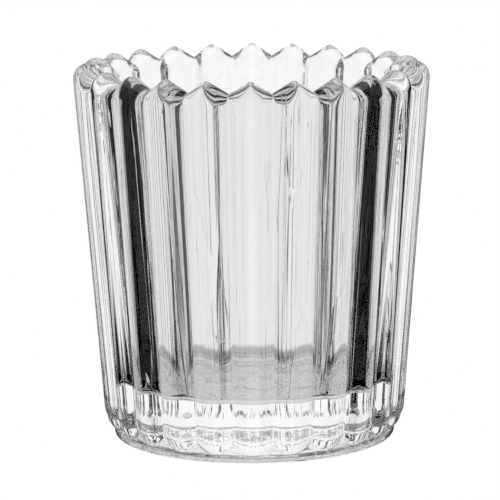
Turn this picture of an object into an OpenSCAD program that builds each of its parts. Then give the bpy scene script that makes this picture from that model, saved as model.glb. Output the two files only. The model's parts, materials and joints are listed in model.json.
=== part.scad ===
// Tealight holder: one piece of pressed clear glass, a cup with ribs that run up over a gabled rim.
// Origin: centre of the foot, on the surface that the cup stands on. +Z is up.
// A rib faces each of +X, -X, +Y and -Y.

/* [Body] */
// Overall height, from the surface it stands on to the tips of the gables
height = 90; // [88:0.5:92]
// Widest diameter, across two opposite rib crests just under the rim
rim_d = 85; // [84:0.5:87]
// Lean of the wall's outside from upright, in degrees
wall_lean = 4.45; // [4.2:0.05:4.7]

/* [Ribs] */
// Number of ribs round the cup
rib_count = 24; // [22:1:26]
// Slope of a rib's sides from the wall, in degrees, which is also the slope of a gable
rib_slope = 33; // [32:0.5:34]
// How far above its blunt crest the two sides of a rib would meet
crest_cut = 0.85; // [0.75:0.05:0.95]
// How far the bottom of a rim groove lies under the tips of the gables
groove_drop = 3.1; // [3:0.1:3.4]
// Radius of the arc in which a rib's lower end curves in to the foot
rib_end_r = 5; // [4.5:0.1:5.5]
// Height above the surface at which a rib's lower end starts to curve in
rib_end_z = 6.3; // [6:0.1:7]

/* [Foot] */
// Diameter of the plain round foot
foot_d = 67.6; // [67:0.1:67.8]
// Radius round the foot's lower edge
foot_round = 0.8; // [0.4:0.1:1.2]
// Diameter of the shallow hollow under the foot
hollow_d = 56; // [40:1:60]
// Depth of that hollow
hollow_depth = 0.8; // [0.4:0.1:1.2]

/* [Cavity] */
// Diameter of the cavity's cone, measured as if it ran up to the tips of the gables
mouth_d = 70; // [69.5:0.1:70.5]
// Lean of the cavity's wall from upright, in degrees
cavity_lean = 5; // [4.5:0.1:5.5]
// Height of the candle seat above the surface that the cup stands on
seat_z = 13.5; // [12:0.5:14]
// Radius between the seat and the cavity's wall
seat_round = 2.5; // [1:0.5:3]

/* [Hidden] */
$fn = 96;

pitch = 360 / rib_count;
crest_r = rim_d / 2;
mouth_r = mouth_d / 2;
foot_r = foot_d / 2;
hollow_r = hollow_d / 2;
hollow_edge = 2; // width of the sloping edge of the hollow under the foot

// Radius of the cavity's wall at a height
function cavity_at(z) = mouth_r - (height - z) * tan(cavity_lean);

// Round over the crests, which touches the crest lines outside and the cavity's wall inside
rim_round = (crest_r - mouth_r) / (1 + 1 / cos(cavity_lean) - tan(cavity_lean));
rim_mid_r = crest_r - rim_round;
rim_mid_z = height - rim_round;
rim_in_r = rim_mid_r - rim_round * cos(cavity_lean);
rim_in_z = rim_mid_z + rim_round * sin(cavity_lean);

// Crest line of a rib, from the arc at its lower end up to the round at the rim
crest_top_r = rim_mid_r + rim_round * cos(wall_lean);
crest_top_z = rim_mid_z - rim_round * sin(wall_lean);
function crest_at(z) = crest_top_r - (crest_top_z - z) * tan(wall_lean);
crest_low_r = crest_at(rib_end_z);
rib_end_mid_r = crest_low_r - rib_end_r * cos(wall_lean);
rib_end_mid_z = rib_end_z + rib_end_r * sin(wall_lean);

// Bottom line of a groove, where the sides of two ribs meet
groove_ratio = cos(pitch / 2) + sin(pitch / 2) * tan(rib_slope);
groove_lean = atan(tan(wall_lean) / groove_ratio);
function groove_at(z) = (crest_at(z) + crest_cut) / groove_ratio;

// Round over a groove, which touches the groove's line outside and the cavity's wall inside
groove_top_z = height - groove_drop;
groove_wall = groove_at(groove_top_z) - cavity_at(groove_top_z);
lean_gap = tan(cavity_lean) - tan(groove_lean);
groove_round = groove_wall / (1 / cos(groove_lean) + 1 / cos(cavity_lean) - lean_gap);
groove_mid_z = groove_top_z - groove_round;
groove_mid_r = groove_at(groove_mid_z) - groove_round / cos(groove_lean);

// Rounded edge of the seat
seat_mid_z = seat_z + seat_round;
seat_mid_r = cavity_at(seat_mid_z) - seat_round / cos(cavity_lean);
seat_steps = 8;
seat_turn = 90 - cavity_lean;
seat_edge = [
    for (i = [0 : seat_steps])
        let (angle = -cavity_lean - seat_turn * i / seat_steps)
            [seat_mid_r + seat_round * cos(angle), seat_mid_z + seat_round * sin(angle)]
];

// The groove wedges: how deep each is from its bottom line, and how far one runs past the glass
wedge_depth = 6;
wedge_reach = 20;
below = 1;

// Half of the cup's section above its foot, before the grooves are cut
module wall_profile() {
    translate([rim_mid_r, rim_mid_z]) circle(r = rim_round);
    translate([rib_end_mid_r, rib_end_mid_z]) circle(r = rib_end_r);
    polygon(concat(
        [
            [0, rib_end_mid_z],
            [rib_end_mid_r, rib_end_mid_z],
            [crest_low_r, rib_end_z],
            [crest_top_r, crest_top_z],
            [rim_mid_r, rim_mid_z],
            [rim_in_r, rim_in_z]
        ],
        seat_edge,
        [[0, seat_z]]
    ));
}

// Half of the foot's section: its top is buried in the wall's glass
module foot_profile() {
    foot_top_z = rib_end_mid_z + rib_end_r / 10;
    translate([foot_r - foot_round, foot_round]) circle(r = foot_round);
    polygon([
        [0, hollow_depth],
        [hollow_r - hollow_edge, hollow_depth],
        [hollow_r, 0],
        [foot_r - foot_round, 0],
        [foot_r - foot_round, foot_round],
        [foot_r, foot_round],
        [foot_r, foot_top_z],
        [0, foot_top_z]
    ]);
}

// A straight wedge of air whose bottom line touches the round over a groove, at an angle from level
module groove_wedge(angle, down, up) {
    half_w = wedge_depth / tan(rib_slope);
    translate([groove_mid_r, 0, groove_mid_z])
        rotate([0, -angle, 0])
            translate([groove_round, 0, -down])
                linear_extrude(height = down + up)
                    polygon([[0, 0], [wedge_depth, half_w], [wedge_depth, -half_w]]);
}

// One groove: down the outside to below the foot, and over the rim in two flats
module groove() {
    groove_wedge(-groove_lean, groove_mid_z + below, wedge_reach);
    for (angle = [45, 90]) groove_wedge(angle, wedge_reach, wedge_reach);
}

module glass_cup() {
    color([0.86, 0.9, 0.9, 0.5]) {
        difference() {
            rotate_extrude() wall_profile();
            for (i = [0 : rib_count - 1]) rotate([0, 0, (i + 0.5) * pitch]) groove();
        }
        rotate_extrude() foot_profile();
    }
}

glass_cup();
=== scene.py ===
"""Tealight holder in pressed clear glass: the fine mesh, its glass, and the studio round it."""
import json
import math

import bmesh
import bpy
from mathutils import Matrix, Vector


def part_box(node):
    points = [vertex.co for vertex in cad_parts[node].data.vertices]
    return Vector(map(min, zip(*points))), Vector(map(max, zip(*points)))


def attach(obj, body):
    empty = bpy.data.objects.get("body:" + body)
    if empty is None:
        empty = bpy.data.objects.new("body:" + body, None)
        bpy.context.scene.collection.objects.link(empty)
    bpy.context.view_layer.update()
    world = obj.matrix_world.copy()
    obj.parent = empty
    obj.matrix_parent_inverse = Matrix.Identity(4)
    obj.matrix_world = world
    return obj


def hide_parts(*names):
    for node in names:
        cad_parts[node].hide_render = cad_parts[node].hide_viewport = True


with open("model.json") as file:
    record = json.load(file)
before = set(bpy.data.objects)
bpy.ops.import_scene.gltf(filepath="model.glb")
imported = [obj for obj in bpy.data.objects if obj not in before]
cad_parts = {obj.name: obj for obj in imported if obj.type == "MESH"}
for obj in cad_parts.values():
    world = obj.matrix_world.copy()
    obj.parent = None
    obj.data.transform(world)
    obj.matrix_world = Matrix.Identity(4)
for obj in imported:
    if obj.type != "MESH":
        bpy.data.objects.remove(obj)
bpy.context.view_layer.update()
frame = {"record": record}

MM = 0.001
(low_x, low_y, low_z), (high_x, high_y, high_z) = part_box("glass_cup")

# ---- Driving sizes of the cup, in millimetres ----

HEIGHT = (high_z - low_z) / MM
CREST_R = (high_x - low_x) / MM / 2
RIBS = 24
PITCH = 2 * math.pi / RIBS
WALL_TAN = math.tan(math.radians(4.45))
RIB_SLOPE = math.tan(math.radians(33))
CREST_ROUND = 4.5
GABLE_SLOPE = math.tan(math.radians(32))
GABLE_ROUND = 0.9
VALLEY_SOFT = 0.1
FOOT_SOFT = 0.06
INSIDE_CAD = 0.001
RIB_END_R = 5.0
RIB_END_Z = 6.3
FOOT_R = 33.85
FOOT_ROUND = 0.8
HOLLOW_R = 28.0
HOLLOW_DEPTH = 0.8
HOLLOW_EDGE = 2.0
MOUTH_R = 35.0
CAVITY_LEAN = math.radians(5)
SEAT_Z = frame["record"]["mounts"][0]["pos_m"][2] / MM
SEAT_ROUND = 2.5

# ---- Looks of the glass: depths and heights are in millimetres ----

GLASS_IOR = 1.51
PALE_TINT = (0.975, 0.985, 0.985, 1)
CLEAR_TINT = (0.99, 0.992, 0.99, 1)
# Most roughness that the haze gives, and the part of its noise over which it rises to that
HAZE = 0.004
HAZE_BAND = (0.4, 0.8)
# Draw lines: their depth, how wide one is in the noise that places them, and where they fade out
LINE_DEPTH = 0.025
LINE_SPREAD = 0.022
LINE_TOP = (80, 86)
# Slow waves along the wall, and the chilled skin at the foot with the heights where it fades out
SWELL_DEPTH = 0.06
CHILL_DEPTH = 0.35
CHILL_TOP = (1.5, 4)
# Each noise's scale per metre, and how it is stretched along each axis
EVEN = (1, 1, 1)
TINT_SCALE = 40
HAZE_SCALE, HAZE_STRETCH = 250, (1, 1, 0.4)
LINE_SCALE, LINE_STRETCH = 330, (1, 1, 0.012)
SWELL_SCALE, SWELL_STRETCH = 110, (1, 1, 0.04)
CHILL_SCALE = 120

# ---- The studio ----

# Light of what the camera sees straight, of the sheets and of the floor under the cup, and the
# share of all light that is left when it is seen through three or more surfaces of the glass
WHITE = 1.0
SHEET = 1.0
NEAR_LIGHT = 0.7
DEEP_SHEET = 0.88
# Where a sheet fades in, as the cosine of the level angle from its middle
BACK_SHEET = (0.72, 0.84)
FRONT_SHEET = (0.92, 0.97)
SIDE_SHEET = (0.87, 0.97)
# Where the back sheet and the front sheet fade at their tops, and where the light overhead fades in,
# as angles above the floor in radians
BACK_TOP = (0.2, 0.6)
FRONT_TOP = (0.15, 0.25)
TOP_LIGHT = (0.95, 1.1)
# Share of the back sheet's light that is left above its fading top
BACK_HIGH = 0.5
# The floor, in metres: the radius of its part under the cup, where the cup's shade fades out, half
# the floor's width, and how far it lies below the foot so that the two don't touch
NEAR_R = 0.033
SHADE_R = (0.05, 0.09)
FLOOR_R = 1.2
FLOOR_GAP = 0.0001
# Share of the floor's light that the cup's shade takes away, seen only through three or more surfaces
SHADE = 0.5

# ---- The camera: millimetres and degrees ----

CAMERA_PLACE = (4.32, -711.1, 174.86)
CAMERA_YAW = 0.405
CAMERA_PITCH = 10.397
CAMERA_ROLL = 0.52
LENS = 216.5
SENSOR = 36

# ---- How finely the mesh is cut ----

COLUMNS = 20
WALL_ROWS = 60
END_ROWS = 26
RIM_ROWS = 24
CAVITY_ROWS = 40
SEAT_ROUND_ROWS = 10
FLAT_ROWS = 8
# How much closer together the columns stand at a crest and in a groove
COLUMN_CROWD = 0.35
# Distances below the top between which the lean of the wall at one angle is measured
LEAN_FROM, LEAN_TO = 30, 5


def rib_drop(side, slope, radius):
    """How far a rib's surface lies under its crest at a distance to one side of it."""
    side = abs(side)
    turn = math.atan(slope)
    if side < radius * math.sin(turn):
        return radius - math.sqrt(radius * radius - side * side)
    return side * slope - radius * (1 / math.cos(turn) - 1)


def soft_max(a, b, soft):
    """The larger of two values, with the corner between them rounded."""
    return (a + b) / 2 + math.sqrt((a - b) ** 2 / 4 + soft * soft)


def cavity_at(z):
    """Radius of the cavity's wall at a height."""
    return MOUTH_R - (HEIGHT - z) * math.tan(CAVITY_LEAN)


def round_between(outer, outer_tan, inner, inner_tan, top):
    """The circle that touches two leaning lines, given by their radius at height 0, and a level top."""
    gap = outer - inner + top * (outer_tan - inner_tan)
    spread = math.hypot(1, outer_tan) + math.hypot(1, inner_tan)
    radius = gap / (spread + outer_tan - inner_tan)
    mid_z = top - radius
    mid_r = outer + mid_z * outer_tan - radius * math.hypot(1, outer_tan)
    return mid_r, mid_z, radius


CAVITY_TAN = math.tan(CAVITY_LEAN)
CAVITY_0 = cavity_at(0)
# The crest line is set so that the round over a crest just reaches the widest radius
RIM_ROUND = (CREST_R - MOUTH_R) / (1 + 1 / math.cos(CAVITY_LEAN) - CAVITY_TAN)
CREST_0 = CREST_R - RIM_ROUND + RIM_ROUND * math.hypot(1, WALL_TAN) - (HEIGHT - RIM_ROUND) * WALL_TAN


def crest_at(z):
    """Radius of a rib's crest line at a height."""
    return CREST_0 + z * WALL_TAN


def rib_radius(crest, turn):
    """Radius of a rib's surface, at an angle from its crest, where its crest line has the radius given."""
    radius = crest
    for _ in range(6):
        drop = rib_drop(radius * math.sin(turn), RIB_SLOPE, CREST_ROUND)
        radius = (crest - drop) / math.cos(turn)
    return radius


def soft_gap(crest):
    """What the softening adds at the crest, taken off again so that the widest radius holds."""
    far = rib_radius(crest, 0) - rib_radius(crest, PITCH)
    return math.sqrt(far * far / 4 + VALLEY_SOFT ** 2) - far / 2


def ribbed_radius(crest, turn):
    """Radius at an angle from a crest, with the groove towards the next rib softened."""
    here = rib_radius(crest, turn)
    there = rib_radius(crest, PITCH - abs(turn))
    return soft_max(here, there, VALLEY_SOFT) - soft_gap(crest)


END_MID_R = crest_at(RIB_END_Z) - RIB_END_R * math.cos(math.atan(WALL_TAN))
END_MID_Z = RIB_END_Z + RIB_END_R * math.sin(math.atan(WALL_TAN))


def outer_radius(z, turn):
    """Outside of the wall and foot at a height above the foot's lower round."""
    if z >= RIB_END_Z:
        rib = ribbed_radius(crest_at(z), turn)
    else:
        straight = ribbed_radius(crest_at(RIB_END_Z), turn)
        drop = crest_at(RIB_END_Z) - straight * math.cos(turn)
        reach = RIB_END_R - drop
        fall = END_MID_Z - z
        rib = END_MID_R + math.sqrt(max(reach * reach - fall * fall, 0.0)) if reach > 0 else END_MID_R
        rib = rib / math.cos(turn)
    return soft_max(rib, FOOT_R, FOOT_SOFT) - INSIDE_CAD


def column_profile(turn):
    """The cup's outline in the half plane at an angle from a crest: radius and height in millimetres."""
    points = []
    # Under the foot, from the middle out
    for i in range(1, FLAT_ROWS + 1):
        r = (HOLLOW_R - HOLLOW_EDGE) * i / FLAT_ROWS
        points.append((r, HOLLOW_DEPTH))
    for i in range(1, FLAT_ROWS + 1):
        s = i / FLAT_ROWS
        smooth = s * s * (3 - 2 * s)
        points.append((HOLLOW_R - HOLLOW_EDGE + HOLLOW_EDGE * s, HOLLOW_DEPTH * (1 - smooth)))
    points.append(((HOLLOW_R + FOOT_R - FOOT_ROUND) / 2, 0.0))
    for i in range(FLAT_ROWS + 1):
        a = math.pi / 2 * i / FLAT_ROWS
        points.append((
            FOOT_R - FOOT_ROUND + FOOT_ROUND * math.sin(a),
            FOOT_ROUND - FOOT_ROUND * math.cos(a),
        ))
    # The ribs' lower ends
    for i in range(1, END_ROWS + 1):
        z = FOOT_ROUND + (RIB_END_Z - FOOT_ROUND) * i / END_ROWS
        points.append((outer_radius(z, turn), z))
    # The wall up to the rim's round at this angle, and then the round
    side = (CREST_R - RIM_ROUND) * math.sin(turn)
    top = HEIGHT - rib_drop(side, GABLE_SLOPE, GABLE_ROUND)
    z_a, z_b = HEIGHT - LEAN_FROM, HEIGHT - LEAN_TO
    r_a, r_b = ribbed_radius(crest_at(z_a), turn), ribbed_radius(crest_at(z_b), turn)
    outer_tan = (r_b - r_a) / (z_b - z_a)
    mid_r, mid_z, radius = round_between(r_a - z_a * outer_tan, outer_tan, CAVITY_0, CAVITY_TAN, top)
    start = -math.atan(outer_tan)
    touch_z = mid_z + radius * math.sin(start)
    for i in range(1, WALL_ROWS + 1):
        z = RIB_END_Z + (touch_z - RIB_END_Z) * i / WALL_ROWS
        points.append((outer_radius(z, turn), z))
    turn_all = math.pi + CAVITY_LEAN - start
    for i in range(1, RIM_ROWS + 1):
        a = start + turn_all * i / RIM_ROWS
        points.append((mid_r + radius * math.cos(a), mid_z + radius * math.sin(a)))
    # Down the cavity's wall
    seat_mid_z = SEAT_Z + SEAT_ROUND
    seat_mid_r = cavity_at(seat_mid_z) - SEAT_ROUND / math.cos(CAVITY_LEAN)
    low = seat_mid_z - SEAT_ROUND * math.sin(CAVITY_LEAN)
    high = points[-1][1]
    for i in range(1, CAVITY_ROWS + 1):
        z = high + (low - high) * i / CAVITY_ROWS
        points.append((cavity_at(z), z))
    for i in range(1, SEAT_ROUND_ROWS + 1):
        a = -CAVITY_LEAN - (math.pi / 2 - CAVITY_LEAN) * i / SEAT_ROUND_ROWS
        points.append((seat_mid_r + SEAT_ROUND * math.cos(a), seat_mid_z + SEAT_ROUND * math.sin(a)))
    for i in range(1, FLAT_ROWS):
        points.append((seat_mid_r * (1 - i / FLAT_ROWS), SEAT_Z))
    return points


def rib_turns():
    """Angles from a crest at which the mesh has a column, closer together at the crest and in the groove."""
    half = COLUMNS // 2
    turns = []
    for i in range(-half, half):
        s = i / half
        turns.append(PITCH / 2 * (s - COLUMN_CROWD * math.sin(2 * math.pi * s) / math.pi))
    return turns


def make_cup():
    """The whole cup as one closed mesh: the same profile columns for every rib, joined round the axis."""
    turns = rib_turns()
    profiles = [column_profile(t) for t in turns]
    rows = len(profiles[0])
    bm = bmesh.new()
    columns = []
    for k in range(RIBS):
        for turn, profile in zip(turns, profiles):
            a = k * PITCH + turn
            columns.append([
                bm.verts.new((r * math.cos(a) * MM, r * math.sin(a) * MM, z * MM)) for r, z in profile
            ])
    under = bm.verts.new((0, 0, HOLLOW_DEPTH * MM))
    seat = bm.verts.new((0, 0, SEAT_Z * MM))
    for here, there in zip(columns, columns[1:] + columns[:1]):
        bm.faces.new((under, there[0], here[0]))
        for i in range(rows - 1):
            bm.faces.new((here[i], there[i], there[i + 1], here[i + 1]))
        bm.faces.new((seat, here[-1], there[-1]))
    bm.normal_update()
    mesh = bpy.data.meshes.new("cup_glass")
    bm.to_mesh(mesh)
    bm.free()
    for poly in mesh.polygons:
        poly.use_smooth = True
    cup = bpy.data.objects.new("cup_glass", mesh)
    bpy.context.scene.collection.objects.link(cup)
    return cup


# ---- Materials ----

def new_material(name):
    """A material with nodes, its tree, and its Principled shader."""
    mat = bpy.data.materials.new(name)
    mat.use_nodes = True
    return mat, mat.node_tree, mat.node_tree.nodes["Principled BSDF"]


def math_node(tree, operation, *values):
    """One step of arithmetic on shader values or plain numbers."""
    node = tree.nodes.new("ShaderNodeMath")
    node.operation = operation
    for slot, value in enumerate(values):
        if isinstance(value, (int, float)):
            node.inputs[slot].default_value = value
        else:
            tree.links.new(value, node.inputs[slot])
    return node.outputs[0]


def along_wall(tree, coords):
    """The coordinates scaled as the wall narrows, so that an upright pattern runs along the ribs."""
    parts = tree.nodes.new("ShaderNodeSeparateXYZ")
    tree.links.new(coords, parts.inputs[0])
    x, y, z = parts.outputs
    wall = math_node(tree, "MULTIPLY_ADD", z, WALL_TAN, CREST_0 * MM)
    narrow = math_node(tree, "DIVIDE", CREST_R * MM, wall)
    joined = tree.nodes.new("ShaderNodeCombineXYZ")
    tree.links.new(math_node(tree, "MULTIPLY", x, narrow), joined.inputs[0])
    tree.links.new(math_node(tree, "MULTIPLY", y, narrow), joined.inputs[1])
    tree.links.new(z, joined.inputs[2])
    return joined.outputs[0]


def noise(tree, coords, stretch, scale, detail=2.0):
    """A noise texture on the object's own coordinates in metres, stretched along each axis."""
    mapping = tree.nodes.new("ShaderNodeMapping")
    mapping.inputs["Scale"].default_value = stretch
    tree.links.new(coords, mapping.inputs["Vector"])
    texture = tree.nodes.new("ShaderNodeTexNoise")
    texture.inputs["Scale"].default_value = scale
    texture.inputs["Detail"].default_value = detail
    tree.links.new(mapping.outputs["Vector"], texture.inputs["Vector"])
    return texture.outputs["Fac"]


def spread(tree, value, low, high, to_low, to_high):
    """Map a range of values on to another one, with the ends held."""
    node = tree.nodes.new("ShaderNodeMapRange")
    for name, number in zip(("From Min", "From Max", "To Min", "To Max"), (low, high, to_low, to_high)):
        node.inputs[name].default_value = number
    tree.links.new(value, node.inputs["Value"])
    return node.outputs["Result"]


def add_bump(tree, height, distance, before=None):
    """Relief of a depth in millimetres, on top of the relief before it."""
    node = tree.nodes.new("ShaderNodeBump")
    node.inputs["Strength"].default_value = 1.0
    node.inputs["Distance"].default_value = distance * MM
    tree.links.new(height, node.inputs["Height"])
    if before is not None:
        tree.links.new(before, node.inputs["Normal"])
    return node.outputs["Normal"]


def clear_glass():
    """Clear pressed glass: draw lines along the ribs, slow waves, a chilled foot, a trace of tint and haze."""
    mat, tree, bsdf = new_material("clear_glass")
    coords = tree.nodes.new("ShaderNodeTexCoord").outputs["Object"]
    parts = tree.nodes.new("ShaderNodeSeparateXYZ")
    tree.links.new(coords, parts.inputs[0])
    height = parts.outputs[2]
    tint = tree.nodes.new("ShaderNodeMix")
    tint.data_type = "RGBA"
    tint.inputs[6].default_value = PALE_TINT
    tint.inputs[7].default_value = CLEAR_TINT
    tree.links.new(noise(tree, coords, EVEN, TINT_SCALE), tint.inputs[0])
    tree.links.new(tint.outputs[2], bsdf.inputs["Base Color"])
    haze = noise(tree, coords, HAZE_STRETCH, HAZE_SCALE)
    tree.links.new(spread(tree, haze, *HAZE_BAND, 0.0, HAZE), bsdf.inputs["Roughness"])
    wall = along_wall(tree, coords)
    draw = noise(tree, wall, LINE_STRETCH, LINE_SCALE, 1)
    off_middle = math_node(tree, "ABSOLUTE", math_node(tree, "SUBTRACT", draw, 0.5))
    furrow = spread(tree, off_middle, 0.0, LINE_SPREAD, 0.0, 1.0)
    below_rim = spread(tree, height, LINE_TOP[0] * MM, LINE_TOP[1] * MM, 1.0, 0.0)
    lines = add_bump(tree, math_node(tree, "MULTIPLY", furrow, below_rim), LINE_DEPTH)
    waves = add_bump(tree, noise(tree, wall, SWELL_STRETCH, SWELL_SCALE), SWELL_DEPTH, lines)
    at_foot = spread(tree, height, CHILL_TOP[0] * MM, CHILL_TOP[1] * MM, 1.0, 0.0)
    chill = math_node(tree, "MULTIPLY", noise(tree, coords, EVEN, CHILL_SCALE), at_foot)
    tree.links.new(add_bump(tree, chill, CHILL_DEPTH, waves), bsdf.inputs["Normal"])
    bsdf.inputs["IOR"].default_value = GLASS_IOR
    bsdf.inputs["Transmission Weight"].default_value = 1.0
    return mat


# ---- Studio ----

def ease(tree, value, low, high):
    """0 below a value and 1 above another one, with a smooth step between."""
    node = tree.nodes.new("ShaderNodeMapRange")
    node.interpolation_type = "SMOOTHSTEP"
    node.inputs["From Min"].default_value = low
    node.inputs["From Max"].default_value = high
    tree.links.new(value, node.inputs["Value"])
    return node.outputs["Result"]


def blend(tree, factor, low, high):
    """One value where the factor is 0 and the other where it is 1."""
    node = tree.nodes.new("ShaderNodeMix")
    node.data_type = "FLOAT"
    tree.links.new(factor, node.inputs[0])
    for slot, value in ((2, low), (3, high)):
        if isinstance(value, (int, float)):
            node.inputs[slot].default_value = value
        else:
            tree.links.new(value, node.inputs[slot])
    return node.outputs[0]


def studio_light(tree, vector, level_floor):
    """Light of a point of the floor, or of the room in a direction, as a ray of each kind sees it.

    The camera sees plain white. Light that the glass mirrors, or that passed one or two of its
    surfaces, comes from white sheets behind and in front of the cup, from overhead and from the
    floor under the cup, with darkness at both sides.
    Light that passed three or more surfaces finds light areas at the sides too. No real set does
    that: it keeps the cup from going black when it is seen from the side.
    """
    parts = tree.nodes.new("ShaderNodeSeparateXYZ")
    tree.links.new(vector, parts.inputs[0])
    x, y, z = parts.outputs
    x_squared = math_node(tree, "MULTIPLY", x, x)
    y_squared = math_node(tree, "MULTIPLY", y, y)
    across = math_node(tree, "POWER", math_node(tree, "ADD", x_squared, y_squared), 0.5)
    across = math_node(tree, "MAXIMUM", across, 1e-6)
    ahead = math_node(tree, "DIVIDE", y, across)
    aside = math_node(tree, "ABSOLUTE", math_node(tree, "DIVIDE", x, across))
    back = ease(tree, ahead, *BACK_SHEET)
    front = ease(tree, math_node(tree, "MULTIPLY", ahead, -1), *FRONT_SHEET)
    side = ease(tree, aside, *SIDE_SHEET)
    if level_floor:
        sheets = math_node(tree, "MAXIMUM", back, front)
        under = math_node(tree, "LESS_THAN", across, NEAR_R)
        field = blend(tree, under, math_node(tree, "MULTIPLY", sheets, SHEET), NEAR_LIGHT)
        shade = math_node(tree, "SUBTRACT", 1, ease(tree, across, *SHADE_R))
        unshaded = math_node(tree, "MULTIPLY_ADD", shade, -SHADE, 1.0)
        seen = math_node(tree, "MULTIPLY", math_node(tree, "MAXIMUM", sheets, side), unshaded)
        seen = blend(tree, under, seen, NEAR_LIGHT)
    else:
        height = math_node(tree, "ARCTAN2", z, across)
        low = math_node(tree, "SUBTRACT", 1, ease(tree, height, *FRONT_TOP))
        fade = math_node(tree, "MULTIPLY", ease(tree, height, *BACK_TOP), 1 - BACK_HIGH)
        behind = math_node(tree, "MULTIPLY", back, math_node(tree, "SUBTRACT", 1, fade))
        sky = math_node(tree, "MAXIMUM", behind, math_node(tree, "MULTIPLY", front, low))
        sky = math_node(tree, "MAXIMUM", sky, ease(tree, height, *TOP_LIGHT))
        field = math_node(tree, "MULTIPLY", sky, SHEET)
        seen = math_node(tree, "MAXIMUM", sky, math_node(tree, "MULTIPLY", side, low))
    ray = tree.nodes.new("ShaderNodeLightPath")
    deep = math_node(tree, "GREATER_THAN", ray.outputs["Transmission Depth"], 2.5)
    result = blend(tree, deep, field, math_node(tree, "MULTIPLY", seen, DEEP_SHEET))
    return blend(tree, ray.outputs["Is Camera Ray"], result, WHITE)


def studio_floor():
    """A floor that only glows, as the studio's light says."""
    mat = bpy.data.materials.new("studio_floor")
    mat.use_nodes = True
    tree = mat.node_tree
    tree.nodes.clear()
    glow = tree.nodes.new("ShaderNodeEmission")
    place = tree.nodes.new("ShaderNodeTexCoord").outputs["Object"]
    tree.links.new(studio_light(tree, place, True), glow.inputs["Strength"])
    output = tree.nodes.new("ShaderNodeOutputMaterial")
    tree.links.new(glow.outputs[0], output.inputs["Surface"])
    return mat


def studio_room():
    """The world round the cup, lit as the studio's light says."""
    world = bpy.data.worlds.new("studio")
    world.use_nodes = True
    tree = world.node_tree
    direction = tree.nodes.new("ShaderNodeTexCoord").outputs["Generated"]
    tree.links.new(studio_light(tree, direction, False), tree.nodes["Background"].inputs["Strength"])
    tree.nodes["Background"].inputs["Color"].default_value = (1, 1, 1, 1)
    return world


# ---- Build ----

cup = make_cup()
cup.data.materials.append(clear_glass())
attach(cup, "root")
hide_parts("glass_cup")

floor_mesh = bpy.data.meshes.new("floor")
corners = [(-FLOOR_R, -FLOOR_R, 0), (FLOOR_R, -FLOOR_R, 0), (FLOOR_R, FLOOR_R, 0), (-FLOOR_R, FLOOR_R, 0)]
floor_mesh.from_pydata(corners, [], [(0, 1, 2, 3)])
floor = bpy.data.objects.new("floor", floor_mesh)
bpy.context.scene.collection.objects.link(floor)
floor.location.z = -FLOOR_GAP
floor.data.materials.append(studio_floor())
bpy.context.scene.world = studio_room()

# ---- Camera, set to the photo's viewing angle ----

camera_data = bpy.data.cameras.new("camera")
camera_data.sensor_width = SENSOR
camera_data.lens = LENS
camera = bpy.data.objects.new("camera", camera_data)
bpy.context.scene.collection.objects.link(camera)
yaw, pitch, roll = (math.radians(angle) for angle in (CAMERA_YAW, CAMERA_PITCH, CAMERA_ROLL))
forward = Vector((-math.sin(yaw) * math.cos(pitch), math.cos(yaw) * math.cos(pitch), -math.sin(pitch)))
level_right = Vector((math.cos(yaw), math.sin(yaw), 0))
level_up = level_right.cross(forward)
right = level_right * math.cos(roll) - level_up * math.sin(roll)
up = level_right * math.sin(roll) + level_up * math.cos(roll)
place = Matrix((right, up, -forward)).transposed().to_4x4()
place.translation = Vector(CAMERA_PLACE) * MM
camera.matrix_world = place
bpy.context.scene.camera = camera

scene = bpy.context.scene
scene.view_settings.view_transform = "Standard"
scene.cycles.max_bounces = 32
scene.cycles.transmission_bounces = 32
scene.cycles.glossy_bounces = 16
scene.cycles.transparent_max_bounces = 16
